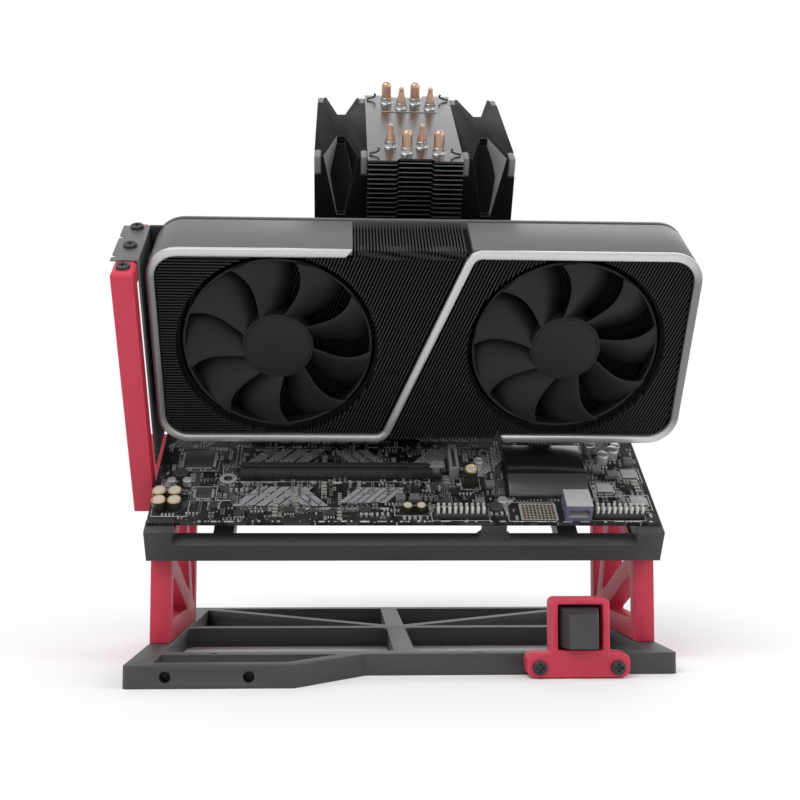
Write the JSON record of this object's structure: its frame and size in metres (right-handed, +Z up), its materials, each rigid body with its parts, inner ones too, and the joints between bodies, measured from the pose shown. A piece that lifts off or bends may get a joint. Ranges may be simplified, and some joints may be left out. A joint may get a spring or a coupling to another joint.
{
  "type": "open air test bench",
  "caption": "Open test bench with a sloping board tray on truss legs over a flat base frame, holding a board, a tower cooler, a fan cooled card and a power key.",
  "frame": {"origin": "middle of the base frame's main rectangle, on the surface that the bench stands on", "axes": "+Z up, +X to the right seen from the front, the front with the power key on the -Y side"},
  "size_m": [0.2559, 0.2628, 0.2922],
  "materials": {
    "frame_grey": "fine layered matt",
    "holder_red": "fine layered matt",
    "screw_steel": "blackened",
    "switch_plastic": "satin",
    "key_plastic": "satin",
    "board_black": "solder mask",
    "slot_plastic": "moulded",
    "latch_plastic": "moulded",
    "trim_silver": "satin",
    "card_grey": "satin",
    "card_fin_black": "satin",
    "fan_black": "satin",
    "motor_black": "satin",
    "bracket_steel": "plated",
    "fin_aluminium": "bare",
    "pipe_copper": "drawn copper",
    "fan_frame_grey": "satin",
    "pad_rubber": "soft matt",
    "socket_plastic": "moulded",
    "processor_metal": "plated",
    "heatsink_black": "satin",
    "capacitor_gold": "coated",
    "chip_black": "moulded"
  },
  "bodies": {
    "bench": {"base_frame": "frame_grey", "board_tray": "frame_grey", "left_leg": "holder_red", "right_leg": "holder_red", "slot_post": "holder_red", "key_holder": "holder_red", "slot_screws": "screw_steel", "holder_screws": "screw_steel", "key_switch": "switch_plastic", "circuit_board": "board_black", "card_board": "board_black", "memory_modules": "board_black", "graphics_slot": "slot_plastic", "lower_slot": "slot_plastic", "memory_slots": "slot_plastic", "pin_headers": "slot_plastic", "edge_connectors": "slot_plastic", "power_sockets": "slot_plastic", "card_trim": "trim_silver", "card_housing": "card_grey", "card_backplate": "card_grey", "card_fins": "card_fin_black", "card_motors": "motor_black", "card_bracket": "bracket_steel", "card_ports": "bracket_steel", "rear_ports": "bracket_steel", "cooler_clamp": "bracket_steel", "cooler_fins": "fin_aluminium", "heat_pipes": "pipe_copper", "cooler_base": "pipe_copper", "fan_frame_left": "fan_frame_grey", "fan_frame_right": "fan_frame_grey", "fan_pads_left": "pad_rubber", "fan_pads_right": "pad_rubber", "cpu_socket": "socket_plastic", "processor": "processor_metal", "regulator_heatsinks": "heatsink_black", "chipset_heatsink": "heatsink_black", "capacitors": "capacitor_gold", "chips": "chip_black"},
    "card_fan_left_rotor": {"card_fan_left": "fan_black"},
    "card_fan_right_rotor": {"card_fan_right": "fan_black"},
    "cooler_fan_left_rotor": {"fan_rotor_left": "fan_black"},
    "cooler_fan_right_rotor": {"fan_rotor_right": "fan_black"},
    "power_key": {"keycap": "key_plastic"},
    "graphics_latch": {"graphics_slot_latch": "latch_plastic"},
    "lower_latch": {"lower_slot_latch": "latch_plastic"},
    "inner_memory_latch": {"memory_latch_inner": "latch_plastic"},
    "outer_memory_latch": {"memory_latch_outer": "latch_plastic"}
  },
  "joints": [
    {"name": "card_fan_left_spin", "type": "hinge", "parent": "bench", "child": "card_fan_left_rotor", "pos_m": [-0.0577, -0.06877, 0.1429], "axis": [0, -0.8171, -0.5764], "continuous": true},
    {"name": "card_fan_right_spin", "type": "hinge", "parent": "bench", "child": "card_fan_right_rotor", "pos_m": [0.072, -0.06877, 0.1429], "axis": [0, -0.8171, -0.5764], "continuous": true},
    {"name": "cooler_fan_left_spin", "type": "hinge", "parent": "bench", "child": "cooler_fan_left_rotor", "pos_m": [-0.03, 0.00965, 0.22221], "axis": [1, 0, 0], "continuous": true},
    {"name": "cooler_fan_right_spin", "type": "hinge", "parent": "bench", "child": "cooler_fan_right_rotor", "pos_m": [0.04, 0.00965, 0.22221], "axis": [1, 0, 0], "continuous": true},
    {"name": "power_key_press", "type": "slide", "parent": "bench", "child": "power_key", "axis": [0, 1, 0], "range_m": [0, 0.0035], "stiffness_N_per_m": 150, "springref_m": -0.003},
    {"name": "graphics_latch_tilt", "type": "hinge", "parent": "bench", "child": "graphics_latch", "pos_m": [0.0153, -0.01111, 0.10991], "axis": [0, 0.8171, 0.5764], "range_deg": [0, 20]},
    {"name": "lower_latch_tilt", "type": "hinge", "parent": "bench", "child": "lower_latch", "pos_m": [0.0153, -0.04432, 0.08648], "axis": [0, 0.8171, 0.5764], "range_deg": [0, 20]},
    {"name": "inner_memory_latch_tilt", "type": "hinge", "parent": "bench", "child": "inner_memory_latch", "pos_m": [0.072, 0.11547, 0.1992], "axis": [-1, 0, 0], "range_deg": [0, 25]},
    {"name": "outer_memory_latch_tilt", "type": "hinge", "parent": "bench", "child": "outer_memory_latch", "pos_m": [0.082, 0.11547, 0.1992], "axis": [-1, 0, 0], "range_deg": [0, 25]}
  ]
}
